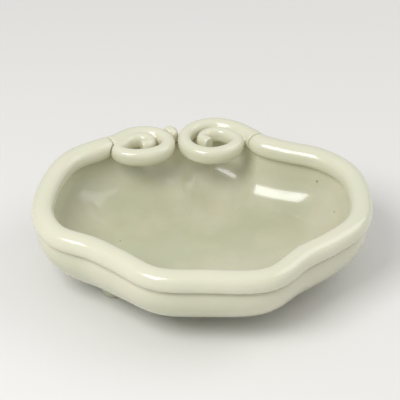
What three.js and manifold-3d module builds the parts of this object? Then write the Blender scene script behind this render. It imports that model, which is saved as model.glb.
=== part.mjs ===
import * as THREE from "three";
import { mergeVertices } from "three/addons/utils/BufferGeometryUtils.js";
import Module from "manifold-3d";

// Overall heights, in millimetres. The washer stands on z = 0 and its scrolls are at +Y.
const footHeight = 6;
const floorTop = 11;
const seatHeight = 36;
const rollHeight = 10;
const rollHalfWidth = 6.1;
const thinning = 0.7;
const fitGap = 0.3;

// How far the wall's outer and inner faces stand from the rim's centreline at the lip.
const lipOutside = 3.1;
const wallThickness = 5;

// The rim's centreline: a bearing in degrees and how far out the line is there.
const rimStations = [
  [132, 73.3], [146, 79.3], [160, 80.4], [181, 81.4], [195, 77.5], [209, 65.4],
  [223, 61.9], [244, 64.3], [265, 62.0], [293, 68.6], [314, 65.9], [328, 71.5],
  [342, 79.2], [356, 81.1], [374, 80.6], [388, 74.2], [402, 64.7], [414, 62.2],
];

// The wall goes on under the scrolls, with a shallow dent at the cleft.
const backStations = [[424, 67.5], [438, 70.5], [448, 68], [458, 62.5], [467, 66], [475, 69.5], [484, 71]];

// Each scroll's centreline from its neck to its tip: x, y and half-width.
const leftTurns = [
  [-41.6, 59.6, 4.7], [-34.6, 65.4, 4.2], [-27, 67.2, 4], [-18.4, 64.6, 4], [-13.6, 57.4, 4],
  [-16.6, 49.4, 4.1], [-25.6, 45.4, 4.2], [-36, 46.6, 4], [-41, 51, 3.8], [-37.6, 57, 3.5],
  [-33.4, 61, 3.3], [-28, 62.1, 3.2], [-23.4, 59.4, 3.2], [-24, 55.6, 3.2], [-28, 54.5, 3.2],
];
const rightTurns = [
  [31.6, 58.4, 5], [24.4, 66.6, 4.5], [14, 71.7, 4.2], [4, 70.4, 4], [-2.6, 64.6, 4],
  [-4.5, 56.6, 4], [-1, 48.2, 4.1], [8, 43.6, 4.2], [18.4, 46.4, 4], [23.8, 53.6, 3.8],
  [20.6, 60, 3.5], [14.6, 63.8, 3.3], [7.8, 62.8, 3.2], [5, 58.6, 3.2], [8.6, 54.5, 3.2],
];

// The wall's outer face from the base up: height, step from the centreline, share of roundness.
const outerProfile = [
  [footHeight, -27, 0.7], [7.2, -19, 0.55], [10.2, -11, 0.4], [15, -4, 0.25],
  [21, 1.6, 0.12], [27, 4, 0.04], [32, 3.9, 0], [seatHeight, lipOutside, 0],
];

// The basin's face from the lip down to the floor.
const lipInside = lipOutside - wallThickness;
const innerProfile = [
  [seatHeight, lipInside, 0], [30, lipInside - 0.4, 0], [24, -4.4, 0.1],
  [18, -9.6, 0.25], [13.6, -17, 0.45], [floorTop, -27, 0.65],
];
const roundHalfWidth = 80;
const roundHalfDepth = 66;

// Foot pads and the stem that runs down behind the cleft.
const padRadius = 6.7;
const padPlaces = { front_left: [-47, -17], front_right: [47, -17], back_left: [-40, 27], back_right: [36, 26] };
const stemPlace = [-12, 66.5];
const stemRadius = 5;
const stemBottom = 24;
const stemTop = seatHeight + rollHeight - 2;

const wasm = await Module();
wasm.setup();

function onBearing([degrees, reach]) {
  const a = THREE.MathUtils.degToRad(degrees);
  return new THREE.Vector3(reach * Math.cos(a), reach * Math.sin(a), rollHalfWidth);
}

function solidOf(geometry) {
  geometry.deleteAttribute("normal");
  geometry.deleteAttribute("uv");
  const merged = mergeVertices(geometry, 1e-5);
  const vertProperties = new Float32Array(merged.attributes.position.array);
  const triVerts = new Uint32Array(merged.index.array);
  return new wasm.Manifold(new wasm.Mesh({ numProp: 3, vertProperties, triVerts }));
}

function geometryOf(solid) {
  const mesh = solid.getMesh();
  const geometry = new THREE.BufferGeometry();
  geometry.setAttribute("position", new THREE.BufferAttribute(new Float32Array(mesh.vertProperties), 3));
  geometry.setIndex(new THREE.BufferAttribute(new Uint32Array(mesh.triVerts), 1));
  return geometry;
}

// Joins rings of the same count, and closes the first and last ring to their middles.
function skin(rings) {
  const count = rings[0].length;
  const points = rings.flat();
  const index = [];
  for (let r = 0; r + 1 < rings.length; r++) {
    for (let i = 0; i < count; i++) {
      const a = r * count + i;
      const b = r * count + ((i + 1) % count);
      index.push(a, b, b + count, a, b + count, a + count);
    }
  }
  for (const [start, flip] of [[0, true], [(rings.length - 1) * count, false]]) {
    const middle = new THREE.Vector3();
    for (let i = 0; i < count; i++) {
      middle.addScaledVector(points[start + i], 1 / count);
    }
    points.push(middle);
    for (let i = 0; i < count; i++) {
      const a = start + i;
      const b = start + ((i + 1) % count);
      index.push(...(flip ? [b, a, points.length - 1] : [a, b, points.length - 1]));
    }
  }
  const geometry = new THREE.BufferGeometry().setFromPoints(points);
  geometry.setIndex(index);
  return solidOf(geometry);
}

// The wall's line, all the way round.
const wallLine = new THREE.CatmullRomCurve3([...rimStations, ...backStations].map(onBearing), true);
const wallPoints = wallLine.getPoints(120).slice(0, 120);

function wallRing([z, step, roundness], grow = 0) {
  return wallPoints.map((p) => {
    const reach = Math.hypot(p.x, p.y);
    const c = p.x / reach;
    const s = p.y / reach;
    const round = 1 / Math.hypot(c / roundHalfWidth, s / roundHalfDepth);
    const r = reach + (round - reach) * roundness + step + grow;
    return new THREE.Vector3(r * c, r * s, z);
  });
}

function bowlSolid() {
  const outside = outerProfile.map((row) => wallRing(row));
  const inside = innerProfile.map((row) => wallRing(row));
  return skin([...outside, ...inside]);
}

// The bowl without its basin and a little larger, which trims what is luted to it.
function bowlTrimmer() {
  const rows = outerProfile.map(([z, step, share], i) => [i ? z : z - fitGap, step, share]);
  return skin(rows.map((row) => wallRing(row, fitGap * 1.4)));
}

// The roll's outline for one half-width, with a flat underside.
function rollOutline(half, grow) {
  const w = half + grow;
  const h = rollHeight - (rollHalfWidth - half) * thinning + grow;
  const rightSide = [[0.62, 0], [0.93, 0.2], [1, 0.45], [0.91, 0.72], [0.63, 0.92], [0.22, 1]];
  const leftSide = rightSide.map(([x, z]) => [-x, z]).reverse();
  return [...rightSide, ...leftSide].map(([x, z]) => [x * w, z * h]).reverse();
}

// The whole roll is one line: the left scroll's tip, round the rim, and the right scroll's tip.
const leftCount = leftTurns.length;
const rollControls = [
  ...[...leftTurns].reverse().map((p) => new THREE.Vector3(...p)),
  ...rimStations.map(onBearing),
  ...rightTurns.map((p) => new THREE.Vector3(...p)),
];
const rollLine = new THREE.CatmullRomCurve3(rollControls, false);
const spans = rollControls.length - 1;

function rollSection(t, grow) {
  const p = rollLine.getPoint(t);
  const tangent = rollLine.getTangent(t);
  const side = new THREE.Vector3(tangent.y, -tangent.x, 0).normalize();
  const low = grow ? seatHeight - fitGap : seatHeight;
  return rollOutline(p.z, grow).map(([x, z]) => new THREE.Vector3(p.x + side.x * x, p.y + side.y * x, low + z));
}

// A stretch of the roll, made of short lengths that run into each other.
function rollStretch(from, to, perSpan, grow = 0) {
  const lengths = [];
  const overlap = 0.04 / spans;
  for (let s = from; s < to - 1e-6; s += 2) {
    const end = Math.min(s + 2, to);
    const last = Math.min(end / spans + (end < to ? overlap : 0), 1);
    const steps = Math.round((end - s) * perSpan);
    const rings = [];
    for (let i = 0; i <= steps; i++) {
      rings.push(rollSection(THREE.MathUtils.lerp(s / spans, last, i / steps), grow));
    }
    lengths.push(skin(rings));
  }
  return wasm.Manifold.union(lengths);
}

// A lathe-turned pad or knob standing at a place.
function turned(points, [x, y]) {
  const outline = points.map(([r, z]) => new THREE.Vector2(r, z));
  const geometry = new THREE.LatheGeometry(outline, 32);
  geometry.rotateX(Math.PI / 2);
  geometry.translate(x, y, 0);
  return solidOf(geometry);
}

function largest(solid) {
  const bodies = solid.decompose();
  return bodies.sort((a, b) => b.volume() - a.volume())[0];
}

const neckGap = fitGap / 9;
const rimEnd = spans - leftCount;
const rimFrom = leftCount - 0.5;
const rimTo = rimEnd + 0.5;
const leftScroll = rollStretch(0, rimFrom - neckGap, 5);
const rightScroll = rollStretch(rimTo + neckGap, spans, 5);
const grownLeft = rollStretch(0, rimFrom - neckGap, 5, fitGap);
const grownRight = rollStretch(rimTo + neckGap, spans, 5, fitGap);
const rim = rollStretch(rimFrom, rimTo, 6).subtract(grownLeft).subtract(grownRight);
const bowl = bowlSolid();
const trimmer = bowlTrimmer();
const padOutline = [[0, 0], [padRadius - 2, 0], [padRadius - 0.6, 1.2], [padRadius, 3], [padRadius, 12], [0, 12]];
const stemOutline = [
  [0, stemBottom], [stemRadius * 0.5, stemBottom + 1], [stemRadius * 0.85, stemBottom + 5],
  [stemRadius, stemTop - 6], [stemRadius * 0.85, stemTop - 2], [stemRadius * 0.4, stemTop], [0, stemTop],
];
const stem = turned(stemOutline, stemPlace).subtract(trimmer).subtract(grownLeft).subtract(grownRight);

const solids = {
  bowl_body: bowl,
  rim_band: largest(rim),
  left_scroll: leftScroll,
  right_scroll: rightScroll.subtract(grownLeft),
  back_stem: largest(stem),
};
for (const [name, place] of Object.entries(padPlaces)) {
  solids[`foot_${name}`] = largest(turned(padOutline, place).subtract(trimmer));
}

const glaze = { color: 0xd7d7bd, roughness: 0.25, metalness: 0 };
const group = new THREE.Group();
group.name = "brush_washer";
for (const [name, solid] of Object.entries(solids)) {
  const mesh = new THREE.Mesh(geometryOf(solid), new THREE.MeshStandardMaterial(glaze));
  mesh.name = name;
  group.add(mesh);
}

// The origin is put under the middle of the whole object.
const box = new THREE.Box3().setFromObject(group);
const middle = box.getCenter(new THREE.Vector3());
for (const mesh of group.children) {
  mesh.geometry.translate(-middle.x, -middle.y, 0);
}

export default group;
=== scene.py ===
import math

import bpy
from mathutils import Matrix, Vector


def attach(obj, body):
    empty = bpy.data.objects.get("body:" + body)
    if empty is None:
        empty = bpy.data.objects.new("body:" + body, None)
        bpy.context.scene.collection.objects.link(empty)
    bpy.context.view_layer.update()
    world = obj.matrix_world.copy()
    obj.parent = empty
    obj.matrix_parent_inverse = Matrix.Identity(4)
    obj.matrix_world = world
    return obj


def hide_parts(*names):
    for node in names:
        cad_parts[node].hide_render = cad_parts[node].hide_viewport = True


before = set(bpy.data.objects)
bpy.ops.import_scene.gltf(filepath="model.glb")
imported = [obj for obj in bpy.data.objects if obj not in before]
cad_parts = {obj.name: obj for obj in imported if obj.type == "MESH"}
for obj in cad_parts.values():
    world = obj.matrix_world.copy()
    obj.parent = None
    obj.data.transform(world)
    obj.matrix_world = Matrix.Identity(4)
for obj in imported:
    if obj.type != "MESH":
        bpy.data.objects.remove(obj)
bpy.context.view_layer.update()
print("frame loaded")

# The glaze is pale on the crests and more olive low in the basin, partly where it pools and
# partly as painted shade. Heights are in metres.
glazeLook = {
    "pale": (0.69, 0.69, 0.53, 1),
    # the olive of pooled glaze, darkened further by painted shade of the basin floor
    "pooledAndShaded": (0.42, 0.43, 0.28, 1),
    "warm": (0.80, 0.74, 0.60, 1),
    "speck": (0.30, 0.20, 0.10, 1),
    "roughness": 0.22,
    "coatWeight": 0.6,
    "coatRoughness": 0.06,
    "glowWeight": 0.08,
    "glowReach": 0.002,
    "poolAndShadeHeights": (0.008, 0.044),
    "poolAndShadePaleness": (0.25, 1.0),
    "cloudScale": 28,
    "cloudDetail": 4,
    "warmClouds": (0.45, 0.75),
    "warmShare": 0.4,
    "speckScale": 55,
    "speckEdge": (0.03, 0.05),
    "speckShare": 0.7,
    "bumpStrength": 0.12,
    "bumpDepth": 0.001,
}


def remap(tree, value, fromRange, toRange):
    node = tree.nodes.new("ShaderNodeMapRange")
    node.inputs["From Min"].default_value, node.inputs["From Max"].default_value = fromRange
    node.inputs["To Min"].default_value, node.inputs["To Max"].default_value = toRange
    tree.links.new(value, node.inputs["Value"])
    return node.outputs["Result"]


def mixColours(tree, factor, under, over):
    node = tree.nodes.new("ShaderNodeMix")
    node.data_type = "RGBA"
    node.inputs["B"].default_value = over
    if isinstance(under, tuple):
        node.inputs["A"].default_value = under
    else:
        tree.links.new(under, node.inputs["A"])
    tree.links.new(factor, node.inputs["Factor"])
    return node.outputs["Result"]


def makeGlaze():
    look = glazeLook
    mat = bpy.data.materials.new("celadonGlaze")
    mat.use_nodes = True
    tree = mat.node_tree
    shader = tree.nodes["Principled BSDF"]
    shader.inputs["Roughness"].default_value = look["roughness"]
    shader.inputs["Coat Weight"].default_value = look["coatWeight"]
    shader.inputs["Coat Roughness"].default_value = look["coatRoughness"]
    shader.inputs["Subsurface Weight"].default_value = look["glowWeight"]
    shader.inputs["Subsurface Scale"].default_value = look["glowReach"]
    place = tree.nodes.new("ShaderNodeTexCoord").outputs["Object"]
    clouds = tree.nodes.new("ShaderNodeTexNoise")
    clouds.inputs["Scale"].default_value = look["cloudScale"]
    clouds.inputs["Detail"].default_value = look["cloudDetail"]
    tree.links.new(place, clouds.inputs["Vector"])
    cloudiness = clouds.outputs["Fac"]
    # the glaze is more olive low in the basin: partly thicker glaze, partly painted shade of
    # the basin
    split = tree.nodes.new("ShaderNodeSeparateXYZ")
    tree.links.new(place, split.inputs["Vector"])
    paleOverPoolAndShade = remap(tree, split.outputs["Z"], look["poolAndShadeHeights"], look["poolAndShadePaleness"])
    colour = mixColours(tree, paleOverPoolAndShade, look["pooledAndShaded"], look["pale"])
    warmth = remap(tree, cloudiness, look["warmClouds"], (0, look["warmShare"]))
    colour = mixColours(tree, warmth, colour, look["warm"])
    # a few brown specks
    dots = tree.nodes.new("ShaderNodeTexVoronoi")
    dots.inputs["Scale"].default_value = look["speckScale"]
    tree.links.new(place, dots.inputs["Vector"])
    speckle = remap(tree, dots.outputs["Distance"], look["speckEdge"], (look["speckShare"], 0))
    colour = mixColours(tree, speckle, colour, look["speck"])
    tree.links.new(colour, shader.inputs["Base Color"])
    bump = tree.nodes.new("ShaderNodeBump")
    bump.inputs["Strength"].default_value = look["bumpStrength"]
    bump.inputs["Distance"].default_value = look["bumpDepth"]
    tree.links.new(cloudiness, bump.inputs["Height"])
    tree.links.new(bump.outputs["Normal"], shader.inputs["Normal"])
    return mat


glaze = makeGlaze()
print("glaze mixed")

# How each piece is rounded: subdivision levels for the bowl's wall,
# and a fine skin in metres with smoothing passes for the rest
rounding = {
    "bowl_body": {"levels": 2},
    "rim_band": {"skin": 0.0006, "passes": 16},
    "left_scroll": {"skin": 0.0005, "passes": 10},
    "right_scroll": {"skin": 0.0005, "passes": 10},
    "back_stem": {"skin": 0.0005, "passes": 10},
}
footRounding = {"skin": 0.0005, "passes": 6}
for corner in ("front_left", "front_right", "back_left", "back_right"):
    rounding["foot_" + corner] = footRounding
mergeDistance = 1e-6


def addModifier(piece, kind, **values):
    modifier = piece.modifiers.new(kind.lower(), kind)
    for name, value in values.items():
        setattr(modifier, name, value)
    bpy.ops.object.modifier_apply(modifier=modifier.name)


def makeSmooth(node, settings):
    # a merged copy of the solid's mesh, rounded inside its own outline
    piece = bpy.data.objects.new(node + "_glazed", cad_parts[node].data.copy())
    bpy.context.scene.collection.objects.link(piece)
    bpy.ops.object.select_all(action="DESELECT")
    piece.select_set(True)
    bpy.context.view_layer.objects.active = piece
    bpy.ops.object.mode_set(mode="EDIT")
    bpy.ops.mesh.select_all(action="SELECT")
    bpy.ops.mesh.remove_doubles(threshold=mergeDistance)
    if "levels" in settings:
        bpy.ops.mesh.tris_convert_to_quads()
    bpy.ops.object.mode_set(mode="OBJECT")
    if "levels" in settings:
        addModifier(piece, "SUBSURF", levels=settings["levels"])
    else:
        addModifier(piece, "REMESH", mode="VOXEL", voxel_size=settings["skin"])
        addModifier(piece, "SMOOTH", iterations=settings["passes"])
    bpy.ops.object.shade_smooth()
    piece.data.materials.clear()
    piece.data.materials.append(glaze)
    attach(piece, "root")
    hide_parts(node)


for node, settings in rounding.items():
    makeSmooth(node, settings)
    print("made", node)

# A pale floor and a soft light from the left front
stageLook = {
    "floorSize": 6,
    "floorColour": (0.78, 0.77, 0.75, 1),
    "floorRoughness": 0.8,
    "airColour": (1, 1, 1, 1),
    "airStrength": 0.55,
}
lights = {
    "keyLight": {"spot": (-0.45, -0.35, 0.75), "power": 5.0, "size": 0.45},
    "fillLight": {"spot": (0.6, 0.1, 0.6), "power": 1.6, "size": 0.6},
}


def makeFloor():
    bpy.ops.mesh.primitive_plane_add(size=stageLook["floorSize"], location=(0, 0, 0))
    floor = bpy.context.object
    floor.name = "floor"
    mat = bpy.data.materials.new("floorPale")
    mat.use_nodes = True
    shader = mat.node_tree.nodes["Principled BSDF"]
    shader.inputs["Base Color"].default_value = stageLook["floorColour"]
    shader.inputs["Roughness"].default_value = stageLook["floorRoughness"]
    floor.data.materials.append(mat)


def aim(thing, direction):
    thing.rotation_euler = direction.to_track_quat("-Z", "Y").to_euler()


def addLight(name, look):
    data = bpy.data.lights.new(name, "AREA")
    data.energy = look["power"]
    data.size = look["size"]
    light = bpy.data.objects.new(name, data)
    bpy.context.scene.collection.objects.link(light)
    light.location = look["spot"]
    aim(light, -Vector(look["spot"]))


def makeAir():
    world = bpy.data.worlds.new("studio")
    bpy.context.scene.world = world
    world.use_nodes = True
    background = world.node_tree.nodes["Background"]
    background.inputs["Color"].default_value = stageLook["airColour"]
    background.inputs["Strength"].default_value = stageLook["airStrength"]


makeFloor()
for name, look in lights.items():
    addLight(name, look)
makeAir()
print("floor and light set")

# The camera looks at the washer as in the photo
cameraLook = {
    "azimuth": -5.0,
    "elevation": 36.5,
    "distance": 0.85,
    "lens": 144.4,
    "sensorWidth": 36,
    "nearest": 0.01,
    "target": (0.001, 0.022, 0.025),
}


def makeCamera():
    data = bpy.data.cameras.new("camera")
    data.lens = cameraLook["lens"]
    data.sensor_width = cameraLook["sensorWidth"]
    data.clip_start = cameraLook["nearest"]
    camera = bpy.data.objects.new("camera", data)
    bpy.context.scene.collection.objects.link(camera)
    turn = math.radians(cameraLook["azimuth"])
    tilt = math.radians(cameraLook["elevation"])
    level = Vector((math.sin(turn), -math.cos(turn), 0)) * math.cos(tilt)
    back = level + Vector((0, 0, math.sin(tilt)))
    camera.location = Vector(cameraLook["target"]) + back * cameraLook["distance"]
    aim(camera, -back)
    bpy.context.scene.camera = camera


makeCamera()
bpy.context.scene.view_settings.view_transform = "Standard"
print("camera set")
